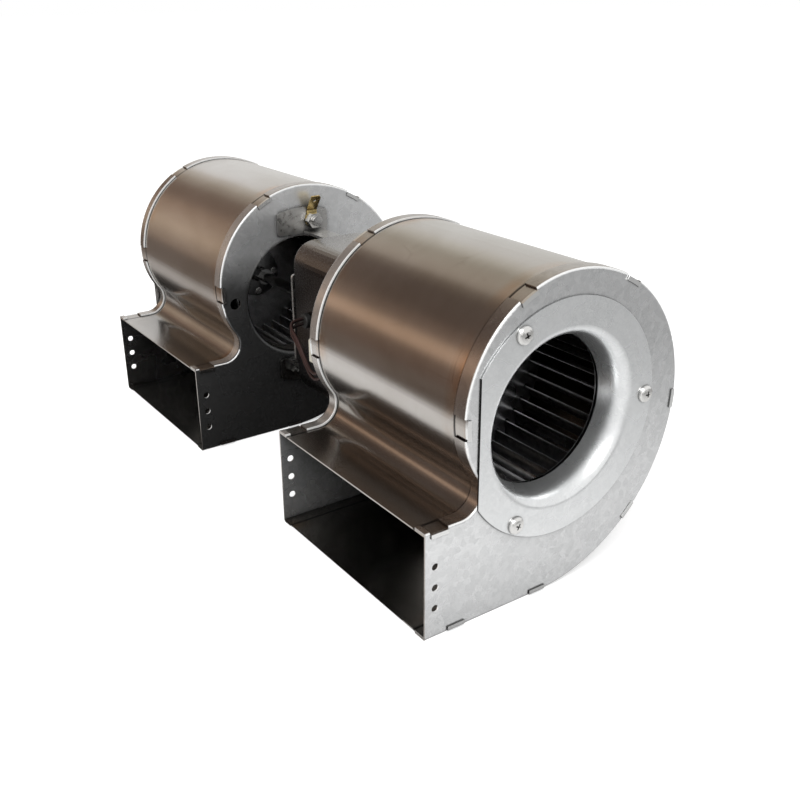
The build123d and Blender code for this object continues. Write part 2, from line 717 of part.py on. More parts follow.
# Leads: two wires out of a grommet in the motor case, drooping to a terminal block
case_front = axis_y - motor_width / 2
exit_z = axis_z + lead_exit_z
with BuildPart() as lead_grommet:
    with BuildSketch(Plane.XZ.offset(-case_front)):
        with Locations((lead_exit_x, exit_z)):
            Circle(grommet_radius)
    extrude(amount=grommet_length)
    fillet(lead_grommet.faces().sort_by(Axis.Y)[0].edges(), radius=grommet_length / 3)
    with BuildSketch(Plane.XZ.offset(-case_front)):
        with Locations((lead_exit_x, exit_z)):
            Circle(grommet_radius - case_wall - hole_clearance)
    extrude(amount=-case_wall)
finish(lead_grommet.part, "lead_grommet")

# Terminal block: its spigot fills the spare hole and a push-on clip holds it from inside
clip_seat = inner_face + plate_sheet
spigot_end = clip_seat + clip_sheet + hole_clearance
with BuildPart() as terminal_block:
    with BuildSketch(cross_plane(inner_face)):
        with Locations((spare_hole_y, spare_hole_z)):
            Rectangle(block_width, block_height)
    extrude(amount=-block_depth)
    fillet(terminal_block.edges().filter_by(Axis.X), radius=block_edge)
    with BuildSketch(cross_plane(inner_face)):
        with Locations((spare_hole_y, spare_hole_z)):
            Circle(spare_hole_radius - hole_clearance)
    extrude(amount=spigot_end - inner_face)
finish(terminal_block.part, "terminal_block")

with BuildPart() as terminal_clip:
    with BuildSketch(cross_plane(clip_seat)):
        with Locations((spare_hole_y, spare_hole_z)):
            Circle(clip_radius)
            Circle(spare_hole_radius, mode=Mode.SUBTRACT)
    extrude(amount=clip_sheet)
finish(terminal_clip.part, "terminal_block_clip")

block_screw_places = [(spare_hole_y, spare_hole_z + up * block_height / 4) for up in (1, -1)]
block_front = inner_face - block_depth
with BuildPart() as terminal_screws:
    add(domed_heads(block_front, -1, block_screw_places, small_screw_head_radius, small_screw_head))
finish(terminal_screws.part, "terminal_screws")

block_foot_z = spare_hole_z - block_height / 2
lead_start_y = -motor_width / 2 - grommet_length
lead_end_x = inner_face - block_depth / 2


def lead_route(up):
    """Points of one lead. The upper one keeps inside the lower one, so the two never cross."""
    inside = up / 2
    front_y = spare_hole_y + lead_spread
    return [
        (lead_exit_x, lead_start_y, lead_exit_z + up),
        (lead_exit_x, lead_start_y - lead_stand_off, lead_exit_z + up),
        (lead_exit_x + lead_turn_x, front_y + lead_radius, lead_exit_z - lead_turn_drop + up),
        (lead_exit_x + lead_slack_x, front_y, lead_exit_z - lead_slack_drop + up),
        (lead_exit_x + lead_droop_x, spare_hole_y + lead_spread / 2, lead_low_z + lead_droop_rise + up),
        (lead_exit_x + lead_low_x, spare_hole_y, lead_low_z + up),
        (lead_end_x - lead_rise_x - inside, spare_hole_y, lead_low_z + lead_rise_z + up),
        (lead_end_x - up - inside / 4, spare_hole_y, block_foot_z - lead_tail + inside),
        (lead_end_x - up, spare_hole_y, block_foot_z),
    ]


def lead_bends(route):
    """Bend radius at each inner point, as large as the two runs beside it allow."""
    points = [Vector(*point) for point in route]
    radii = []
    for before, here, after in zip(points, points[1:], points[2:]):
        turn = (here - before).get_angle(after - here)
        shorter = min((here - before).length, (after - here).length)
        radii.append(0.45 * shorter / tan(radians(turn / 2)))
    return radii


for lead_name, up in (("motor_lead_upper", lead_spacing / 2), ("motor_lead_lower", -lead_spacing / 2)):
    route = lead_route(up)
    bends = lead_bends(route)
    with BuildPart() as motor_lead:
        with BuildLine(Plane(origin=(0, axis_y, axis_z))):
            lead_path = FilletPolyline(*route, radius=bends)
        with BuildSketch(Plane(origin=lead_path @ 0, z_dir=lead_path % 0)):
            Circle(lead_radius)
        sweep(path=lead_path)
    finish(motor_lead.part, lead_name)
    print(lead_name, "length", round(lead_path.length, 1), "bends", [round(bend, 1) for bend in bends])
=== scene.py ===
"""Looks for the twin centrifugal fan: sheet steel, zinc, brass and painted metal around the fixed frame.

The origin is on the floor, midway between the two housings, and the shaft lies along X.
"""

from math import atan2, cos, pi, radians, sin

import bmesh
import bpy
from mathutils import Matrix, Vector


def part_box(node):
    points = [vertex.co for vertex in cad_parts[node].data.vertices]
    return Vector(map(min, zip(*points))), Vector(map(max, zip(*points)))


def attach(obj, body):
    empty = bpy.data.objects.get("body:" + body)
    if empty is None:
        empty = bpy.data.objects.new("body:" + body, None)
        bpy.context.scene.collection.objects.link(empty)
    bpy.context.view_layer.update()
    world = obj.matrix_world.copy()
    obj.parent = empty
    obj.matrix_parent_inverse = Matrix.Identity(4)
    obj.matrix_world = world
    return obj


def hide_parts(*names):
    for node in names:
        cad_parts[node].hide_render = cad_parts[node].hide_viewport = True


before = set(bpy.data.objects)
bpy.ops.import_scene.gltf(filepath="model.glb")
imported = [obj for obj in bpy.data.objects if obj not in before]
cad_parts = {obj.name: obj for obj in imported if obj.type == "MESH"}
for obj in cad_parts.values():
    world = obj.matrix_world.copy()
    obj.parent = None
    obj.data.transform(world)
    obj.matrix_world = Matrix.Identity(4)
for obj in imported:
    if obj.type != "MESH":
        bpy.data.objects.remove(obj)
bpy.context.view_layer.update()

MM = 0.001
SIDES = {"right": 1, "left": -1}
STILL = "housings_and_motor"

# Places in the frame, in metres
SHAFT_Y = 0.4 * MM
SHAFT_Z = 102.5 * MM
SHAFT_MIDDLE = Vector((0, SHAFT_Y, SHAFT_Z))
HOUSING_MIDDLE = 136.3 * MM
HOUSING_HALF = 75.0 * MM
SHEET = 1.0 * MM
FLANGE_DEPTH = 9.0 * MM
FLANGE_EDGE = HOUSING_HALF - FLANGE_DEPTH
FLANGE_BEND = 0.9 * MM
# BRIGHT_LINE is the width of the painted highlight along the flanges' cut edges.
BRIGHT_LINE = 0.4 * MM
OUTSIDE_INLET_RING = 62.0 * MM
BEHIND_MOUTH_Y = -87.3 * MM
RING_EDGE_RADIUS = 56.0 * MM
RUST_REACH = 12.0 * MM
# Width of the painted shadow on the wrapper beside the flanges
FLANGE_SHADOW_REACH = 3.0 * MM
# Height over which the painted shade on faces towards the motor fades out
LOW_SHADE_HEIGHT = 200.0 * MM

# Camera, solved from the photograph: angles in degrees, lengths in metres
HOUSING_WIDTH = 2 * HOUSING_HALF
CAMERA_AZIMUTH = 55.275
CAMERA_HEIGHT = 23.141
CAMERA_ROLL = -0.353
CAMERA_ACROSS = 0.241 * HOUSING_WIDTH
CAMERA_RISE = -0.384 * HOUSING_WIDTH
CAMERA_BACK = 4.431 * HOUSING_WIDTH
LENS = 43.65
SENSOR = 36.0


# Shader nodes

def new_material(name, metallic, roughness, colour):
    """A principled material and its node tree, with plain values on the shader's own sockets."""
    material = bpy.data.materials.new(name)
    material.use_nodes = True
    tree = material.node_tree
    shader = tree.nodes["Principled BSDF"]
    shader.inputs["Metallic"].default_value = metallic
    shader.inputs["Roughness"].default_value = roughness
    shader.inputs["Base Color"].default_value = (*colour, 1)
    return material, tree, shader


def dress(tree, shader, colour, roughness):
    """Gives a shader its colour and its roughness from other nodes."""
    tree.links.new(colour, shader.inputs["Base Color"])
    tree.links.new(roughness, shader.inputs["Roughness"])


def place_of(tree, stretch=(1, 1, 1)):
    """Object coordinates, stretched along the axes, so that a texture has its real size."""
    where = tree.nodes.new("ShaderNodeTexCoord")
    mapping = tree.nodes.new("ShaderNodeMapping")
    mapping.inputs["Scale"].default_value = stretch
    tree.links.new(where.outputs["Object"], mapping.inputs["Vector"])
    return mapping.outputs["Vector"]


def split(tree, vector):
    """The outputs X, Y and Z of a vector."""
    node = tree.nodes.new("ShaderNodeSeparateXYZ")
    tree.links.new(vector, node.inputs[0])
    return node.outputs


def facing(tree):
    """The outputs X, Y and Z of the direction that a surface faces."""
    return split(tree, tree.nodes.new("ShaderNodeNewGeometry").outputs["Normal"])


def noise(tree, size, stretch=(1, 1, 1), detail=4.0, distortion=0.0):
    """Noise whose lumps are about as large as size, in metres."""
    node = tree.nodes.new("ShaderNodeTexNoise")
    node.inputs["Scale"].default_value = 1 / size
    node.inputs["Detail"].default_value = detail
    node.inputs["Distortion"].default_value = distortion
    tree.links.new(place_of(tree, stretch), node.inputs["Vector"])
    return node.outputs["Fac"]


def cells(tree, size, output, feature="F1"):
    """Crystal-like cells about as large as size."""
    node = tree.nodes.new("ShaderNodeTexVoronoi")
    node.feature = feature
    node.inputs["Scale"].default_value = 1 / size
    tree.links.new(place_of(tree), node.inputs["Vector"])
    return node.outputs[output]


def ramp(tree, source, stops):
    """Colours or grey levels by position along a source value."""
    node = tree.nodes.new("ShaderNodeValToRGB")
    elements = node.color_ramp.elements
    while len(elements) < len(stops):
        elements.new(0.5)
    for element, (position, colour) in zip(elements, stops):
        level = colour if isinstance(colour, tuple) else (colour, colour, colour)
        element.position = position
        element.color = (*level, 1)
    tree.links.new(source, node.inputs["Fac"])
    return node.outputs["Color"]


def math_node(tree, operation, *values):
    """One step of arithmetic on numbers and outputs."""
    node = tree.nodes.new("ShaderNodeMath")
    node.operation = operation
    for socket, value in zip(node.inputs, values):
        if isinstance(value, (int, float)):
            socket.default_value = value
        else:
            tree.links.new(value, socket)
    return node.outputs[0]


def product(tree, first, *others):
    """All the given numbers and outputs multiplied."""
    for other in others:
        first = math_node(tree, "MULTIPLY", first, other)
    return first


def within(tree, value, limit):
    """1 where a value is less than limit from zero, 0 elsewhere."""
    return math_node(tree, "LESS_THAN", math_node(tree, "ABSOLUTE", value), limit)


def blend(tree, first, second, factor, mode="MIX"):
    """Mixes two colour outputs. The factor is a number or an output."""
    node = tree.nodes.new("ShaderNodeMix")
    node.data_type = "RGBA"
    node.blend_type = mode
    if isinstance(factor, float):
        node.inputs[0].default_value = factor
    else:
        tree.links.new(factor, node.inputs[0])
    tree.links.new(first, node.inputs[6])
    tree.links.new(second, node.inputs[7])
    return node.outputs[2]


def shaded(tree, colour, shade):
    """A colour output multiplied by another."""
    return blend(tree, colour, shade, 1.0, "MULTIPLY")


def plain(tree, *level):
    """One colour as an output."""
    colour = tree.nodes.new("ShaderNodeRGB")
    colour.outputs[0].default_value = (*level, 1)
    return colour.outputs[0]


def bump(tree, shader, height, depth, strength):
    """Raises the surface by up to depth, in metres."""
    node = tree.nodes.new("ShaderNodeBump")
    node.inputs["Strength"].default_value = strength
    node.inputs["Distance"].default_value = depth
    tree.links.new(height, node.inputs["Height"])
    tree.links.new(node.outputs["Normal"], shader.inputs["Normal"])


# Wear, rust, and painted shade, shadows and highlights

def scratches(tree, spacing, spread):
    """A few hair lines: narrow edges between large cells, broken up by noise."""
    edge = cells(tree, spacing, "Distance", "DISTANCE_TO_EDGE")
    line = ramp(tree, edge, [(0.0, 1.0), (0.006, 0.0)])
    patch = ramp(tree, noise(tree, spread), [(0.52, 0.0), (0.60, 1.0)])
    return shaded(tree, line, patch)


def hollow_painted_shade(tree, colour, reach, depth, closed, open_from):
    """Painted shade: darkens a colour where other metal closes in around it, as inside a duct."""
    open_share = tree.nodes.new("ShaderNodeAmbientOcclusion")
    open_share.samples = 6
    open_share.inputs["Distance"].default_value = reach
    shade = ramp(tree, open_share.outputs["AO"], [(closed, depth), (open_from, 1.0)])
    return shaded(tree, colour, shade)


def crevice_painted_shade(tree, colour):
    """Painted shade: fine dark lines where pieces meet."""
    return hollow_painted_shade(tree, colour, 3 * MM, 0.25, 0.4, 0.85)


def low_painted_shade(tree, colour):
    """Painted shade that deepens towards the bottom, on faces towards the motor, its edge broken up by
    noise.
    """
    place = split(tree, place_of(tree))
    shade_wobble = product(tree, math_node(tree, "SUBTRACT", noise(tree, 0.04), 0.5), 0.12)
    height = math_node(tree, "ADD", product(tree, place["Z"], 1 / LOW_SHADE_HEIGHT), shade_wobble)
    lit_share = ramp(tree, height, [(0.40, 0.16), (0.58, 0.17), (0.70, 1.0)])
    inwards = product(tree, facing(tree)["X"], place["X"])
    return blend(tree, colour, shaded(tree, colour, lit_share), math_node(tree, "LESS_THAN", inwards, 0.0))


def facing_sideways(tree, low, high):
    """Rises from 0 to 1 where a surface faces along the shaft."""
    return ramp(tree, math_node(tree, "ABSOLUTE", facing(tree)["X"]), [(low, 0.0), (high, 1.0)])


def from_middle(tree):
    """Distance in metres from the middle plane of the housing, along the shaft."""
    outwards = math_node(tree, "ABSOLUTE", split(tree, place_of(tree))["X"])
    return math_node(tree, "ABSOLUTE", math_node(tree, "SUBTRACT", outwards, HOUSING_MIDDLE))


def from_shaft(tree):
    """Distance in metres from the shaft axis."""
    place = split(tree, place_of(tree))
    ahead = math_node(tree, "POWER", math_node(tree, "SUBTRACT", place["Y"], SHAFT_Y), 2)
    rise = math_node(tree, "POWER", math_node(tree, "SUBTRACT", place["Z"], SHAFT_Z), 2)
    return math_node(tree, "SQRT", math_node(tree, "ADD", ahead, rise))


def past_flange(tree):
    """Distance in metres from the cut edge of the nearest flange towards the middle of the wrapper."""
    return math_node(tree, "SUBTRACT", FLANGE_EDGE, from_middle(tree))


def rust(tree, colour):
    """Soft brown patches on the wrapper beside the flanges."""
    near = product(tree, past_flange(tree), 1 / RUST_REACH)
    patches = ramp(tree, noise(tree, 0.035), [(0.5, 0.0), (0.68, 0.8)])
    rusty = shaded(tree, ramp(tree, near, [(0.2, 1.0), (1.0, 0.0)]), patches)
    return blend(tree, colour, shaded(tree, colour, plain(tree, 1.0, 0.72, 0.50)), rusty)


def flange_painted_shadow(tree, colour):
    """Painted shadow: a narrow dark line on the wrapper along each flange's cut edge."""
    past = product(tree, past_flange(tree), 1 / FLANGE_SHADOW_REACH)
    shadowed = shaded(tree, colour, ramp(tree, past, [(0.0, 0.05), (0.35, 0.18), (0.7, 1.0)]))
    return blend(tree, colour, shadowed, ramp(tree, past, [(0.0, 0.0), (0.001, 1.0)]))


def tab_painted_highlight(tree, colour):
    """Painted highlight: a lighter colour on the tabs that are folded over the side plates, and wherever the
    wrapper faces along the shaft.
    """
    past_face = math_node(tree, "GREATER_THAN", from_middle(tree), HOUSING_HALF - SHEET)
    on_tab = math_node(tree, "MAXIMUM", facing_sideways(tree, 0.6, 0.9), past_face)
    return blend(tree, colour, plain(tree, 0.84, 0.84, 0.83), on_tab)


def edge_painted_highlight(tree):
    """Painted highlight: 1 on the sheared edge of a flange, on a thin line beside some of those edges, and
    on the bend between flange and face, 0 elsewhere.
    """
    place = split(tree, place_of(tree))
    sideways = facing_sideways(tree, 0.55, 0.75)
    past = past_flange(tree)
    sheared = product(tree, within(tree, past, BRIGHT_LINE), sideways)
    near_motor = within(tree, place["X"], HOUSING_MIDDLE)
    right_fan = math_node(tree, "GREATER_THAN", place["X"], 0.0)
    left_edge = math_node(tree, "COMPARE", near_motor, right_fan, 0.5)
    beside_cut = within(tree, math_node(tree, "ADD", past, BRIGHT_LINE), BRIGHT_LINE)
    worn_and_glint = product(tree, beside_cut, left_edge, math_node(tree, "SUBTRACT", 1.0, sideways))
    over_bend = math_node(tree, "SUBTRACT", from_middle(tree), HOUSING_HALF - FLANGE_BEND)
    bend = product(
        tree,
        ramp(tree, product(tree, over_bend, 1 / FLANGE_BEND), [(0.0, 0.0), (0.4, 1.0)]),
        math_node(tree, "SUBTRACT", 1.0, facing_sideways(tree, 0.85, 0.97)),
        math_node(tree, "GREATER_THAN", from_shaft(tree), OUTSIDE_INLET_RING),
        math_node(tree, "GREATER_THAN", place["Y"], BEHIND_MOUTH_Y),
    )
    return math_node(tree, "MAXIMUM", math_node(tree, "MAXIMUM", sheared, worn_and_glint), bend)


def ring_edge_painted_shadow(tree, colour):
    """Painted shadow: nearly black on the front edge of the inlet ring's straight side."""
    ahead = math_node(tree, "LESS_THAN", facing(tree)["Y"], -0.93)
    outside = math_node(tree, "GREATER_THAN", from_shaft(tree), RING_EDGE_RADIUS)
    return blend(tree, colour, plain(tree, 0.01, 0.01, 0.01), product(tree, ahead, outside))


# Materials

def rolled_steel():
    """Bright rolled sheet: faint lines round the scroll, soft stains, slight waves, hair scratches and rust,
    with a painted shadow along the flanges, painted highlights on the folded tabs, and painted shade in
    hollows and joints.
    """
    material, tree, shader = new_material("rolled_steel", 1.0, 0.21, (0.56, 0.53, 0.50))
    streak = noise(tree, 0.03, (45, 1, 1))
    stain = noise(tree, 0.05, (0.5, 1, 1), 3.0, 0.5)
    colour = ramp(tree, stain, [(0.35, (0.48, 0.445, 0.405)), (0.65, (0.575, 0.55, 0.525))])
    colour = shaded(tree, colour, ramp(tree, streak, [(0.3, (0.94, 0.93, 0.92)), (0.7, (1.0, 1.0, 1.0))]))
    marks = ramp(tree, scratches(tree, 0.05, 0.02), [(0.0, (1.0, 1.0, 1.0)), (1.0, (0.85, 0.82, 0.8))])
    # Painted shadow along the flanges' cut edges and painted highlights on the folded tabs, over rust and
    # scratches.
    colour = tab_painted_highlight(tree, flange_painted_shadow(tree, rust(tree, shaded(tree, colour, marks))))
    # Painted shade in hollows and along the joints between pieces.
    colour = crevice_painted_shade(tree, hollow_painted_shade(tree, colour, 0.1, 0.02, 0.25, 0.85))
    dress(tree, shader, colour, ramp(tree, streak, [(0.3, 0.20), (0.7, 0.225)]))
    bump(tree, shader, noise(tree, 0.06, (0.6, 1, 1), 1.0), 0.6 * MM, 0.10)
    return material


def spangled_zinc(
    name, dark, light, spangle, roughness, metallic=1.0, flange_shade=None, ring_edge_shadow=False, low_shaded=False,
    reach=0.13, depth=0.03,
):
    """Hot-dip zinc: crystals of slightly different grey and gloss, with painted shade in hollows and joints,
    and if given, painted shade and painted highlights on bent flanges, painted shade low down on faces
    towards the motor, and a painted shadow on the ring's straight edge.
    """
    material, tree, shader = new_material(name, metallic, roughness[0], light)
    level = tree.nodes.new("ShaderNodeSeparateColor")
    tree.links.new(cells(tree, spangle, "Color"), level.inputs["Color"])
    feather = noise(tree, spangle / 3, detail=5.0, distortion=1.0)
    grain = ramp(tree, feather, [(0.35, (0.94, 0.94, 0.945)), (0.65, (1.0, 1.0, 1.0))])
    zinc = shaded(tree, ramp(tree, level.outputs["Red"], [(0.0, dark), (1.0, light)]), grain)
    # Painted shade low down on faces towards the motor.
    if low_shaded:
        zinc = low_painted_shade(tree, zinc)
    # Painted shade on the bent flanges, by the way they face.
    if flange_shade:
        bent = ramp(tree, facing_sideways(tree, 0.4, 0.8), [(0.0, flange_shade), (1.0, (1.0, 1.0, 1.0))])
        zinc = shaded(tree, zinc, bent)
    # Painted shade in hollows and along the joints between pieces.
    zinc = crevice_painted_shade(tree, hollow_painted_shade(tree, zinc, reach, depth, 0.2, 0.66))
    # Painted highlights on the flanges' cut edges and bends, less metallic there.
    if flange_shade:
        bright = edge_painted_highlight(tree)
        zinc = blend(tree, zinc, plain(tree, 0.95, 0.95, 0.94), bright)
        dull = product(tree, bright, metallic - 0.1)
        tree.links.new(math_node(tree, "SUBTRACT", metallic, dull), shader.inputs["Metallic"])
    # Painted shadow on the front of the inlet ring's straight edge.
    if ring_edge_shadow:
        zinc = ring_edge_painted_shadow(tree, zinc)
    cloud = noise(tree, spangle * 6, detail=2.0)
    dress(tree, shader, zinc, ramp(tree, cloud, [(0.3, roughness[0]), (0.7, roughness[1])]))
    bump(tree, shader, feather, 0.01 * MM, 0.3)
    return material


def plated(
    name, colour, roughness, grain=0.0012, worn_and_glint=0.8, low_shaded=False, faces=None, reach=0.01, depth=0.1,
):
    """Plated metal with a fine uneven grain, worn places and painted shade in hollows, if given with painted
    shade low down on faces towards the motor and a painted dark shade on its faces along the shaft.
    """
    material, tree, shader = new_material(name, 1.0, roughness, colour)
    fine = noise(tree, grain, detail=5.0)
    broad = noise(tree, grain * 8, detail=3.0)
    dull = tuple(channel * worn_and_glint for channel in colour)
    body = ramp(tree, broad, [(0.35, dull), (0.65, colour)])
    # Painted shade low down on faces towards the motor.
    if low_shaded:
        body = low_painted_shade(tree, body)
    # Painted shade: faces along the shaft take the darker colour.
    if faces:
        body = blend(tree, body, plain(tree, *faces), facing_sideways(tree, 0.3, 0.7))
    # Painted shade in hollows.
    body = hollow_painted_shade(tree, body, reach, depth, 0.25, 0.75)
    dress(tree, shader, body, ramp(tree, fine, [(0.3, roughness * 0.75), (0.7, roughness * 1.35)]))
    bump(tree, shader, fine, 0.02 * MM, 0.4)
    return material


def turned(name, colour, roughness):
    """Turned metal: fine rings round the shaft axis."""
    material, tree, shader = new_material(name, 1.0, roughness, colour)
    rings = noise(tree, 0.0006, (1, 0.02, 0.02), 3.0)
    dull = tuple(channel * 0.75 for channel in colour)
    body = ramp(tree, rings, [(0.3, dull), (0.7, colour)])
    dress(tree, shader, body, ramp(tree, rings, [(0.3, roughness * 0.8), (0.7, roughness * 1.4)]))
    bump(tree, shader, rings, 0.01 * MM, 0.4)
    return material


def coated(name, colour, roughness, grain=0.0008, metallic=0.0, variation=0.7, dust_and_top_light=None):
    """Paint, rubber or plastic: soft colour variation and a fine skin, with dust and painted light on level
    faces if given, painted shade in hollows otherwise.
    """
    material, tree, shader = new_material(name, metallic, roughness, colour)
    skin = noise(tree, grain)
    cloud = noise(tree, grain * 20, detail=3.0)
    deep = tuple(channel * variation for channel in colour)
    body = ramp(tree, cloud, [(0.35, deep), (0.65, colour)])
    # Dust and painted light: faces turned upwards are lighter.
    if dust_and_top_light:
        level = ramp(tree, facing(tree)["Z"], [(0.15, 0.0), (0.95, 1.0)])
        body = blend(tree, body, plain(tree, *dust_and_top_light), level)
    else:
        # Painted shade in hollows.
        body = hollow_painted_shade(tree, body, 0.1, 0.05, 0.2, 0.75)
    dress(tree, shader, body, ramp(tree, skin, [(0.3, roughness * 0.9), (0.7, roughness * 1.1)]))
    bump(tree, shader, skin, 0.04 * MM, 0.04 if dust_and_top_light else 0.5)
    return material


def banded(name, dark, light, metallic, roughness, pitch, stretch):
    """Stacked sheets or wound wire: even lines a pitch apart."""
    material, tree, shader = new_material(name, metallic, roughness, light)
    wave = tree.nodes.new("ShaderNodeTexWave")
    wave.inputs["Scale"].default_value = 1 / (pi * pitch)
    wave.inputs["Distortion"].default_value = 0.6
    wave.inputs["Detail"].default_value = 2.0
    tree.links.new(place_of(tree, stretch), wave.inputs["Vector"])
    lines = wave.outputs["Fac"]
    body = ramp(tree, lines, [(0.2, dark), (0.8, light)])
    dress(tree, shader, body, ramp(tree, lines, [(0.2, roughness * 1.3), (0.8, roughness)]))
    bump(tree, shader, lines, pitch / 6, 0.6)
    return material


# Painted shade: a darker, browner colour on flange faces that turn away from the shaft's direction.
FLANGE_SHADE = (0.60, 0.55, 0.51)
STEEL = rolled_steel()
ZINC_PLATE = spangled_zinc(
    "spangled_plate", (0.73, 0.735, 0.735), (0.83, 0.835, 0.835), 0.0035, (0.24, 0.30), flange_shade=FLANGE_SHADE
)
# Inner side plates, with painted shade low down on faces towards the motor.
LOW_SHADED_PLATE = spangled_zinc(
    "low_shaded_plate", (0.70, 0.705, 0.705), (0.80, 0.805, 0.805), 0.0035, (0.24, 0.30), 0.7,
    flange_shade=FLANGE_SHADE, low_shaded=True,
)
ZINC_RING = spangled_zinc(
    "drawn_ring", (0.80, 0.81, 0.81), (0.84, 0.85, 0.85), 0.005, (0.24, 0.30), 0.85,
    ring_edge_shadow=True, reach=0.03, depth=0.3,
)
ZINC_WHEEL = spangled_zinc(
    "wheel_sheet", (0.56, 0.56, 0.57), (0.70, 0.70, 0.71), 0.004, (0.26, 0.34), reach=0.06, depth=0.15
)
# The hub's faces along the shaft carry painted shade.
ZINC_CAST = plated("cast_zinc", (0.90, 0.90, 0.90), 0.2, faces=(0.10, 0.10, 0.10), reach=0.03, depth=0.6)
SCREW = plated("zinc_screw", (0.80, 0.79, 0.77), 0.14, worn_and_glint=0.9)
DARK_SCREW = plated("black_bolt", (0.10, 0.10, 0.10), 0.35)
# The arm and the plate nuts and bolts carry painted shade low down on faces towards the motor.
ARM = plated("arm_plating", (0.58, 0.57, 0.55), 0.3, 0.003, low_shaded=True, reach=0.04)
PLATE_NUT = plated("zinc_nut", (0.84, 0.83, 0.81), 0.16, worn_and_glint=0.9, low_shaded=True)
BEARING_PLATE = plated("bearing_zinc", (0.66, 0.66, 0.65), 0.3, 0.002, reach=0.02, depth=0.3)
BRASS = plated("tab_brass", (0.78, 0.60, 0.27), 0.26)
BRONZE = plated("sintered_bronze", (0.42, 0.27, 0.15), 0.45, 0.0006)
SHAFT = turned("turned_shaft", (0.74, 0.73, 0.71), 0.16)
MOTOR = coated("motor_enamel", (0.05, 0.045, 0.045), 0.28, 0.0012, 1.0, 0.8, dust_and_top_light=(0.34, 0.33, 0.325))
RUBBER = coated("grommet_rubber", (0.018, 0.017, 0.016), 0.6, 0.0005)
LEAD = coated("lead_sleeve", (0.035, 0.009, 0.007), 0.5, 0.0006)
NYLON = coated("block_nylon", (0.62, 0.58, 0.48), 0.4, variation=0.85)
CORE = banded("core_sheets", (0.10, 0.10, 0.10), (0.30, 0.30, 0.31), 1.0, 0.4, 0.0005, (1, 0, 0))
WINDING = banded("copper_winding", (0.20, 0.06, 0.02), (0.60, 0.24, 0.09), 1.0, 0.3, 0.0005, (0.4, 1, 1))

FINISHES = {
    "scroll_wrapper": STEEL,
    "side_plate": ZINC_PLATE,
    "inner_side_plate": LOW_SHADED_PLATE,
    "inlet_ring": ZINC_RING,
    "inlet_ring_screws": SCREW,
    "wheel_blades": ZINC_WHEEL,
    "wheel_end_rings": ZINC_WHEEL,
    "wheel_disc": ZINC_WHEEL,
    "wheel_hub": ZINC_CAST,
    "hub_set_screw": DARK_SCREW,
    "hub_rivets": SCREW,
    "motor_arm": ARM,
    "plate_bolts": PLATE_NUT,
    "plate_nuts": PLATE_NUT,
    "bearing_plate": BEARING_PLATE,
    "bearing_bush": BRONZE,
    "bearing_plate_screws": DARK_SCREW,
    "earth_tab": BRASS,
    "motor_case": MOTOR,
    "stator_core": CORE,
    "stator_windings": WINDING,
    "rotor_core": CORE,
    "motor_shaft": SHAFT,
    "motor_through_bolts": SCREW,
    "motor_through_nuts": SCREW,
    "lead_grommet": RUBBER,
    "motor_lead": LEAD,
    "terminal_block": NYLON,
    "terminal_block_clip": SCREW,
    "terminal_screws": SCREW,
}


def finish_for(node):
    """The finish whose name is the longest one found in the node's name."""
    matches = [key for key in FINISHES if key in node]
    return FINISHES[max(matches, key=len)]


for name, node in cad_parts.items():
    material = finish_for(name)
    for slot in node.material_slots:
        slot.material = material
    if not node.material_slots:
        node.data.materials.append(material)


# Mesh tools

TURN_STEPS = 40
CORNER_STEPS = 10


def put_in_scene(name, data):
    """A new object with this data, linked to the scene."""
    thing = bpy.data.objects.new(name, data)
    bpy.context.scene.collection.objects.link(thing)
    return thing


def finished_mesh(name, shape):
    """The mesh of a bmesh, with its faces turned outward."""
    bmesh.ops.recalc_face_normals(shape, faces=shape.faces)
    mesh = bpy.data.meshes.new(name)
    shape.to_mesh(mesh)
    shape.free()
    return mesh


def new_piece(name, mesh, material, node):
    """A rigid piece that stands for a CAD node and stays with the housings and the motor."""
    mesh.name = name
    mesh.materials.clear()
    mesh.materials.append(material)
    piece = put_in_scene(name, mesh)
    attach(piece, STILL)
    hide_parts(node)


def skin(shape, loops, caps=(0, -1)):
    """Skins a row of equal point loops, closes the loops numbered in caps, and gives the loops' corners."""
    rows = [[shape.verts.new(point) for point in loop] for loop in loops]
    for lower, upper in zip(rows, rows[1:]):
        for k in range(len(lower)):
            after = (k + 1) % len(lower)
            shape.faces.new((lower[k], lower[after], upper[after], upper[k]))
    for end in caps:
        shape.faces.new(rows[end])
    return rows


def turn_profile(shape, profile, place, outward=1):
    """Adds the solid made by turning (radius, height) points round an axis along X."""
    angles = [2 * pi * step / TURN_STEPS for step in range(TURN_STEPS)]
    skin(shape, [
        [place + Vector((outward * height, radius * cos(a), radius * sin(a))) for a in angles]
        for radius, height in profile
    ])


def rounded_outline(half_y, half_z, corner, x):
    """Points of a rectangle with round corners, in the cross plane at x."""
    points = []
    for quarter, (y, z) in enumerate(((1, 1), (-1, 1), (-1, -1), (1, -1))):
        centre = SHAFT_MIDDLE + Vector((x, y * (half_y - corner), z * (half_z - corner)))
        for step in range(CORNER_STEPS + 1):
            a = (quarter + step / CORNER_STEPS) * pi / 2
            points.append(centre + corner * Vector((0, cos(a), sin(a))))
    return points


def cut_away(mesh, cutters):
    """The mesh with each cutter's volume taken out of it."""
    uncut = put_in_scene("uncut", mesh)
    tools = [put_in_scene("cutter", cutter) for cutter in cutters]
    for tool in tools:
        cut = uncut.modifiers.new("cut", "BOOLEAN")
        cut.object = tool
        cut.operation = "DIFFERENCE"
        cut.solver = "EXACT"
    graph = bpy.context.evaluated_depsgraph_get()
    finished = bpy.data.meshes.new_from_object(uncut.evaluated_get(graph))
    for scratch in (uncut, *tools):
        bpy.data.objects.remove(scratch)
    return finished


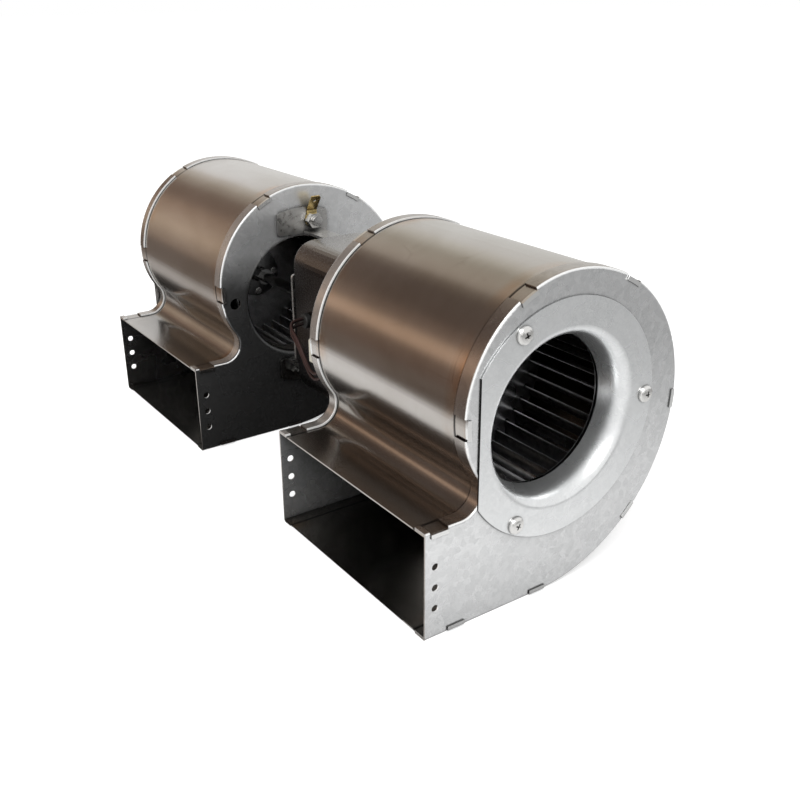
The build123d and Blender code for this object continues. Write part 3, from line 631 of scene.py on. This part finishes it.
def round_cutter(radius, start, end):
    """A round bar on the shaft axis."""
    shape = bmesh.new()
    turn_profile(shape, [(radius, start), (radius, end)], SHAFT_MIDDLE)
    return finished_mesh("round_cutter", shape)


# Cross-head screws

RING_SCREW_CIRCLE = 60.8 * MM
RING_SCREW_ANGLES = (-30, 90, 210)
RING_SCREW_CROSS = 2.3 * MM
FIRST_CROSS_TURN = 20
NEXT_CROSS_TURN = 67

# Shares of a cross arm's length: its half width, its depth, and its size at the bottom and over the top
CROSS_WIDTH = 0.22
CROSS_DEPTH = 0.65
CROSS_BOTTOM = 0.4
CROSS_TOP = 1.3

# Half sections of the screws as radius and height over the seat, in millimetres
RING_SCREW = [
    (1.7, -7.0), (2.1, -5.5), (2.1, 0), (4.9, 0), (4.9, 0.8),
    (4.75, 1.35), (4.3, 1.9), (3.5, 2.35), (2.4, 2.65), (1.2, 2.8),
]
BEARING_SCREW = [(1.2, -2.0), (2.8, -2.0), (2.8, 0.9), (2.4, 1.4), (1.5, 1.6)]


def cross_outline(arm, width):
    """Corners of a plus sign, with arms of half length arm and half width width."""
    corner = [(width, arm), (width, width), (arm, width)]
    points = []
    for quarter in range(4):
        turn = Matrix.Rotation(-quarter * pi / 2, 2)
        points += [turn @ Vector(point) for point in corner]
    return points


def cross_cutter(places, outward, top, arm):
    """Tapered cross-shaped plugs that cut the driver recesses."""
    width = arm * CROSS_WIDTH
    depth = arm * CROSS_DEPTH
    shape = bmesh.new()
    for number, place in enumerate(places):
        turn = Matrix.Rotation(radians(FIRST_CROSS_TURN + NEXT_CROSS_TURN * number), 4, "X")
        skin(shape, [
            [
                place + turn @ Vector((outward * height, *point))
                for point in cross_outline(arm * share, width * share)
            ]
            for height, share in ((top - depth, CROSS_BOTTOM), (top + depth, CROSS_TOP))
        ])
    return finished_mesh("cross_cutter", shape)


def cross_head_screws(node, profile, places, seat, outward, arm, material):
    """Pan-head screws with a cross recess, in place of a node's plain ones."""
    profile = [(radius * MM, height * MM) for radius, height in profile]
    centres = [Vector((seat, y, z)) for y, z in places]
    shape = bmesh.new()
    for centre in centres:
        turn_profile(shape, profile, centre, outward)
    top = profile[-1][1]
    screws = cut_away(finished_mesh(node + "_plain", shape), [cross_cutter(centres, outward, top, arm)])
    for face in screws.polygons:
        face.use_smooth = False
    new_piece(node + "_crossed", screws, material, node)


ring_screw_places = [
    (SHAFT_Y + RING_SCREW_CIRCLE * sin(radians(a)), SHAFT_Z + RING_SCREW_CIRCLE * cos(radians(a)))
    for a in RING_SCREW_ANGLES
]
for side, sign in SIDES.items():
    low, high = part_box(side + "_inlet_ring")
    face = high.x if sign > 0 else low.x
    cross_head_screws(
        side + "_inlet_ring_screws", RING_SCREW, ring_screw_places, face, sign, RING_SCREW_CROSS, SCREW
    )


# Right half of the motor case, which reaches most of the way to the right housing

CASE_HALF_WIDTH = 32.4 * MM
CASE_HALF_HEIGHT = 53.0 * MM
CASE_CORNER = 16.0 * MM
CASE_EDGE = 2.5 * MM
CASE_EDGE_STEPS = 6
CASE_END = 45.0 * MM
CASE_WALL = 1.5 * MM
CASE_BORE = 9.0 * MM
CUT_REACH = 5.0 * MM
CUT_START = CASE_END - CUT_REACH
CUT_END = CASE_END + CUT_REACH
JOIN_WITHIN = 0.01 * MM
ARM_ASIDE = 8.8 * MM
ARM_HEIGHT = 47.0 * MM
ARM_HALF_WIDTH = 7.2 * MM
ARM_HALF_SHEET = 1.0 * MM
ARM_GAP = 0.4 * MM


def case_outline(inset, x):
    """Outline of the motor case in the cross plane at x."""
    return rounded_outline(CASE_HALF_WIDTH - inset, CASE_HALF_HEIGHT - inset, CASE_CORNER - inset, x)


def long_case_half():
    """Drawn half of the motor case, open towards the other half."""
    shape = bmesh.new()
    rim = case_outline(CASE_WALL, 0.0)
    outside = [rim, case_outline(0.0, 0.0), case_outline(0.0, CASE_END - CASE_EDGE)]
    for step in range(1, CASE_EDGE_STEPS + 1):
        a = step / CASE_EDGE_STEPS * pi / 2
        outside.append(case_outline(CASE_EDGE * (1 - cos(a)), CASE_END - CASE_EDGE * (1 - sin(a))))
    inside = [rim, case_outline(CASE_WALL, CASE_END - CASE_WALL)]
    rims = skin(shape, outside, caps=(-1,))[0] + skin(shape, inside, caps=(-1,))[0]
    bmesh.ops.remove_doubles(shape, verts=rims, dist=JOIN_WITHIN)
    return finished_mesh("long_case_half", shape)


def arm_slots():
    """Blocks that cut the openings for the two arms in the case's end wall."""
    shape = bmesh.new()
    half_y = ARM_HALF_WIDTH + ARM_GAP
    half_z = ARM_HALF_SHEET + ARM_GAP
    for up in (1, -1):
        skin(shape, [
            [
                SHAFT_MIDDLE + Vector((x, up * ARM_ASIDE + y * half_y, up * ARM_HEIGHT + z * half_z))
                for y, z in ((-1, -1), (1, -1), (1, 1), (-1, 1))
            ]
            for x in (CUT_START, CUT_END)
        ])
    return finished_mesh("arm_slots", shape)


long_case = cut_away(long_case_half(), [round_cutter(CASE_BORE, CUT_START, CUT_END), arm_slots()])
new_piece("long_motor_case", long_case, MOTOR, "motor_case_right")


# Bearing plate on the end of the long case

BEARING_HALF_WIDTH = 31.5 * MM
BEARING_HALF_HEIGHT = 29.0 * MM
BEARING_CORNER = 4.0 * MM
BEARING_SHEET = 2.0 * MM
BEARING_EDGE = 0.4 * MM
BEARING_BORE = 4.6 * MM
BEARING_FACE = CASE_END + BEARING_SHEET
BEARING_SCREW_Y = 27.0 * MM
BEARING_SCREW_Z = 22.0 * MM
BEARING_SCREW_CROSS = 1.3 * MM
BOSS_RADIUS = 12.0 * MM
BOSS_FILLET = 2.0 * MM
BOSS_FILLET_MIDDLE = 0.6 * MM
BOSS_EDGE = 0.8 * MM
BOSS_LENGTH = 9.0 * MM
BOSS_END = CASE_END + BOSS_LENGTH


def bearing_blank():
    """Rounded plate on the end of the case, with a turned boss and its fillet, not yet bored."""
    loops = [
        rounded_outline(BEARING_HALF_WIDTH - inset, BEARING_HALF_HEIGHT - inset, BEARING_CORNER - inset, x)
        for inset, x in ((0, CASE_END), (0, BEARING_FACE - BEARING_EDGE), (BEARING_EDGE, BEARING_FACE))
    ]
    angles = [atan2(point.z - SHAFT_Z, point.y - SHAFT_Y) for point in loops[0]]
    for radius, x in (
        (BOSS_RADIUS + BOSS_FILLET, BEARING_FACE),
        (BOSS_RADIUS + BOSS_FILLET_MIDDLE, BEARING_FACE + BOSS_FILLET_MIDDLE),
        (BOSS_RADIUS, BEARING_FACE + BOSS_FILLET),
        (BOSS_RADIUS, BOSS_END - BOSS_EDGE),
        (BOSS_RADIUS - BOSS_EDGE, BOSS_END),
    ):
        loops.append([SHAFT_MIDDLE + Vector((x, radius * cos(a), radius * sin(a))) for a in angles])
    shape = bmesh.new()
    skin(shape, loops)
    return finished_mesh("bearing_blank", shape)


bearing = cut_away(bearing_blank(), [round_cutter(BEARING_BORE, CASE_END - MM, BOSS_END + MM)])
new_piece("long_case_bearing", bearing, BEARING_PLATE, "right_bearing_plate")
bearing_screw_places = [
    (SHAFT_Y + y * BEARING_SCREW_Y, SHAFT_Z + z * BEARING_SCREW_Z) for y in (-1, 1) for z in (-1, 1)
]
cross_head_screws(
    "right_bearing_plate_screws", BEARING_SCREW, bearing_screw_places, BEARING_FACE, 1,
    BEARING_SCREW_CROSS, DARK_SCREW,
)


# Leads from the grommet to the terminal block, their routes in millimetres from the shaft's middle

LEAD_RADIUS = 1.1
LEAD_EXIT = (3.0, 4.0)
LEAD_START_Y = -36.4
BLOCK_Y = -54.0
BLOCK_FOOT_Z = -5.0
BLOCK_MIDDLE_X = 55.8
LEAD_LOW_Z = -17.5


def lead_route(up):
    """Points of one lead, up being half the spacing of the two."""
    x, z = LEAD_EXIT
    return [
        (x, LEAD_START_Y, z + up),
        (x, LEAD_START_Y - 7.8, z + up),
        (x + 6, BLOCK_Y + 4 + LEAD_RADIUS, z - 2.5 + up),
        (x + 17, BLOCK_Y + 4, z - 7 + up),
        (x + 30, BLOCK_Y + 2, LEAD_LOW_Z + 4.5 + up),
        (x + 41, BLOCK_Y, LEAD_LOW_Z + up),
        (BLOCK_MIDDLE_X - 4.5 - up / 2, BLOCK_Y, LEAD_LOW_Z + 1.5 + up),
        (BLOCK_MIDDLE_X - 1.125 * up, BLOCK_Y, BLOCK_FOOT_Z - 6.3 + up / 2),
        (BLOCK_MIDDLE_X - up, BLOCK_Y, BLOCK_FOOT_Z),
    ]


def add_lead(node, up):
    """A smooth insulated wire along its route, in place of the plain tube."""
    route = [SHAFT_MIDDLE + Vector(point) * MM for point in lead_route(up)]
    curve = bpy.data.curves.new(node + "_wire", "CURVE")
    curve.dimensions = "3D"
    curve.bevel_depth = LEAD_RADIUS * MM
    curve.bevel_resolution = 6
    curve.use_fill_caps = True
    spline = curve.splines.new("NURBS")
    spline.points.add(len(route) - 1)
    for point, place in zip(spline.points, route):
        point.co = (*place, 1)
    spline.order_u = 3
    spline.use_endpoint_u = True
    spline.resolution_u = 12
    curve.materials.append(LEAD)
    wire = put_in_scene(node + "_wire", curve)
    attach(wire, STILL)
    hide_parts(node)


add_lead("motor_lead_upper", 1.7)
add_lead("motor_lead_lower", -1.7)


# Stage: camera, floor, world, lamps, and canopies and cards that only polished metal sees

SKY_LIGHT = 0.55
FLOOR_GLOW = 0.55
FLOOR_HALF = 12.0
FLOOR_COLOUR = (0.92, 0.92, 0.92)
FLOOR_FADE_FROM = 1.25
FLOOR_FADED = 0.45
LAMP_TARGET = Vector((0, 0, 0.1))
CANOPY_RADIUS = 1.0
CANOPY_STEPS = 32
CARD_HEIGHT = 0.5 * MM


def view_axes(azimuth, height, roll):
    """Right, up and back directions of the camera, from its angles in degrees."""
    a, e, r = radians(azimuth), radians(height), radians(roll)
    back = Vector((sin(a) * cos(e), -cos(a) * cos(e), sin(e)))
    right = Vector((cos(a), sin(a), 0))
    up = back.cross(right)
    return cos(r) * right + sin(r) * up, cos(r) * up - sin(r) * right, back


def add_camera():
    """The camera at the photograph's viewing angle."""
    right, up, back = view_axes(CAMERA_AZIMUTH, CAMERA_HEIGHT, CAMERA_ROLL)
    place = SHAFT_MIDDLE + CAMERA_ACROSS * right + CAMERA_RISE * up + CAMERA_BACK * back
    data = bpy.data.cameras.new("camera")
    data.lens = LENS
    data.sensor_width = SENSOR
    data.clip_start = 0.01
    data.clip_end = 30
    camera = put_in_scene("camera", data)
    camera.matrix_world = Matrix.Translation(place) @ Matrix((right, up, back)).transposed().to_4x4()
    bpy.context.scene.camera = camera


def stage_material(name):
    """A material with no shader yet, its node tree and the socket for its surface."""
    material = bpy.data.materials.new(name)
    material.use_nodes = True
    tree = material.node_tree
    tree.nodes.remove(tree.nodes["Principled BSDF"])
    return material, tree, tree.nodes["Material Output"].inputs["Surface"]


def glow(tree, colour, strength=1.0):
    """Light of its own, from a colour or an output."""
    node = tree.nodes.new("ShaderNodeEmission")
    node.inputs["Strength"].default_value = strength
    if isinstance(colour, tuple):
        node.inputs["Color"].default_value = (*colour, 1)
    else:
        tree.links.new(colour, node.inputs["Color"])
    return node.outputs[0]


def stage_sheet(name, points, faces, material):
    """A sheet with one material, put in the scene."""
    mesh = bpy.data.meshes.new(name)
    mesh.from_pydata(points, [], faces)
    mesh.materials.append(material)
    sheet = put_in_scene(name, mesh)
    return sheet


def flat_card(name, low, high, height, material):
    """A level rectangle between two corners."""
    points = [(low[0], low[1], height), (high[0], low[1], height)]
    points += [(high[0], high[1], height), (low[0], high[1], height)]
    return stage_sheet(name, points, [(0, 1, 2, 3)], material)


def by_ray(tree, rays, shown, lit):
    """One closure where a ray of the named kinds ends, and the other for the rest."""
    path = tree.nodes.new("ShaderNodeLightPath")
    either = path.outputs[rays[0]]
    for ray in rays[1:]:
        either = math_node(tree, "MAXIMUM", either, path.outputs[ray])
    mix = tree.nodes.new("ShaderNodeMixShader")
    tree.links.new(either, mix.inputs[0])
    tree.links.new(lit, mix.inputs[1])
    tree.links.new(shown, mix.inputs[2])
    return mix.outputs[0]


def add_world():
    """White to the eye and in reflections, a softer sky for the diffuse light."""
    world = bpy.data.worlds.new("studio")
    bpy.context.scene.world = world
    world.use_nodes = True
    tree = world.node_tree
    soft = tree.nodes["Background"]
    white = tree.nodes.new("ShaderNodeBackground")
    for sky, level in ((soft, SKY_LIGHT), (white, 1.0)):
        sky.inputs["Color"].default_value = (1, 1, 1, 1)
        sky.inputs["Strength"].default_value = level
    seen = ("Is Camera Ray", "Is Glossy Ray", "Is Transmission Ray")
    surface = by_ray(tree, seen, white.outputs[0], soft.outputs[0])
    tree.links.new(surface, tree.nodes["World Output"].inputs["Surface"])


def add_floor():
    """A pale floor that keeps the shadow, and in reflections a white one that dims to the camera's right."""
    material, tree, surface = stage_material("pale_floor")
    matt = tree.nodes.new("ShaderNodeBsdfDiffuse")
    matt.inputs["Color"].default_value = (*FLOOR_COLOUR, 1)
    pale = tree.nodes.new("ShaderNodeAddShader")
    tree.links.new(matt.outputs[0], pale.inputs[0])
    tree.links.new(glow(tree, (1, 1, 1), FLOOR_GLOW), pale.inputs[1])
    place = split(tree, place_of(tree))
    fade = math_node(tree, "SUBTRACT", FLOOR_FADE_FROM, math_node(tree, "ADD", place["X"], place["Y"]))
    fade = math_node(tree, "MINIMUM", math_node(tree, "MAXIMUM", fade, FLOOR_FADED), 1.0)
    reflections = ("Is Glossy Ray", "Is Transmission Ray")
    mirrored = by_ray(tree, reflections, glow(tree, fade), matt.outputs[0])
    tree.links.new(by_ray(tree, ("Is Camera Ray",), pale.outputs[0], mirrored), surface)
    flat_card("floor", (-FLOOR_HALF, -FLOOR_HALF), (FLOOR_HALF, FLOOR_HALF), 0, material)


def add_lamp(name, place, size, power):
    """A round soft lamp that points at the fan."""
    data = bpy.data.lights.new(name, "AREA")
    data.shape = "DISK"
    data.size = size
    data.energy = power
    lamp = put_in_scene(name, data)
    lamp.location = place
    lamp.rotation_euler = (LAMP_TARGET - Vector(place)).to_track_quat("-Z", "Y").to_euler()


def only_reflections(card):
    """Keeps a stage card out of sight and out of the light, so that only polished metal sees it."""
    card.visible_camera = False
    card.visible_diffuse = False
    card.visible_shadow = False
    card.visible_transmission = False


def canopy_material(name, first, last, shades):
    """Shades by angle round the shaft, first and last being the angles of its ends in degrees."""
    material, tree, surface = stage_material(name)
    place = split(tree, place_of(tree))
    forward = math_node(tree, "SUBTRACT", SHAFT_Y, place["Y"])
    rise = math_node(tree, "SUBTRACT", place["Z"], SHAFT_Z)
    share = tree.nodes.new("ShaderNodeMapRange")
    share.inputs["From Min"].default_value = radians(first)
    share.inputs["From Max"].default_value = radians(last)
    tree.links.new(math_node(tree, "ARCTAN2", forward, rise), share.inputs["Value"])
    stops = [((at - first) / (last - first), colour) for at, colour in shades]
    tree.links.new(glow(tree, ramp(tree, share.outputs["Result"], stops)), surface)
    return material


def add_canopy(name, span, shades):
    """A curved sheet round the shaft axis, from low behind over the top to just under the front horizon."""
    first, last = shades[0][0], shades[-1][0]
    points = []
    for step in range(CANOPY_STEPS + 1):
        a = radians(first + (last - first) * step / CANOPY_STEPS)
        points += [(x, SHAFT_Y - CANOPY_RADIUS * sin(a), SHAFT_Z + CANOPY_RADIUS * cos(a)) for x in span]
    faces = [(2 * k, 2 * k + 1, 2 * k + 3, 2 * k + 2) for k in range(CANOPY_STEPS)]
    material = canopy_material(name, first, last, shades)
    only_reflections(stage_sheet(name, points, faces, material))


def add_dark_card(name, low, high, colour):
    """A dark card lying just over the floor."""
    material, tree, surface = stage_material(name)
    tree.links.new(glow(tree, colour), surface)
    only_reflections(flat_card(name, low, high, CARD_HEIGHT, material))


# Shades of the canopies by angle from straight up towards the outlets, in degrees
NEAR_SKY = (
    (-110, (0.74, 0.74, 0.72)),
    (-50, (0.86, 0.86, 0.84)),
    (-36, (0.76, 0.73, 0.66)),
    (-24, (0.46, 0.42, 0.35)),
    (-2, (0.53, 0.46, 0.39)),
    (6, (0.24, 0.19, 0.15)),
    (16, (0.125, 0.092, 0.075)),
    (42, (0.115, 0.080, 0.062)),
    (58, (0.24, 0.165, 0.125)),
    (66, (0.72, 0.50, 0.36)),
    (73, (0.72, 0.50, 0.36)),
    (78, (0.20, 0.135, 0.10)),
    (98, (0.15, 0.10, 0.08)),
)
FAR_SKY = (
    (-110, (0.80, 0.80, 0.78)),
    (-24, (1.0, 1.0, 1.0)),
    (-18, (0.72, 0.66, 0.58)),
    (-4, (0.42, 0.35, 0.28)),
    (8, (0.25, 0.18, 0.14)),
    (24, (0.24, 0.165, 0.125)),
    (40, (0.44, 0.31, 0.23)),
    (68, (0.64, 0.50, 0.38)),
    (84, (0.44, 0.34, 0.26)),
    (98, (0.28, 0.20, 0.16)),
)
DARK = (0.03, 0.026, 0.024)

add_camera()
add_world()
add_floor()
add_lamp("key", (1.1, -0.9, 1.5), 1.2, 18)
add_lamp("fill", (-1.2, -1.4, 1.0), 1.4, 6)
add_canopy("near_canopy", (-1.5, 0.0), NEAR_SKY)
add_canopy("far_canopy", (-4.5, -1.5), FAR_SKY)
add_dark_card("front_near", (-0.25, -1.2), (0.19, -0.25), (0.13, 0.095, 0.075))
add_dark_card("front_far", (-3.0, -1.2), (-0.25, -0.19), (0.19, 0.15, 0.125))
add_dark_card("strip_far", (-3.0, -0.19), (-0.25, -0.11), (0.62, 0.59, 0.57))
# Painted shade: dark cards under the fan, seen only in reflections, darken the ducts and wheels inside.
add_dark_card("shade_card_near", (-0.25, -0.105), (0.19, 0.45), DARK)
add_dark_card("shade_card_far", (-0.9, -0.11), (-0.25, 0.45), DARK)

bpy.context.scene.view_settings.view_transform = "Standard"
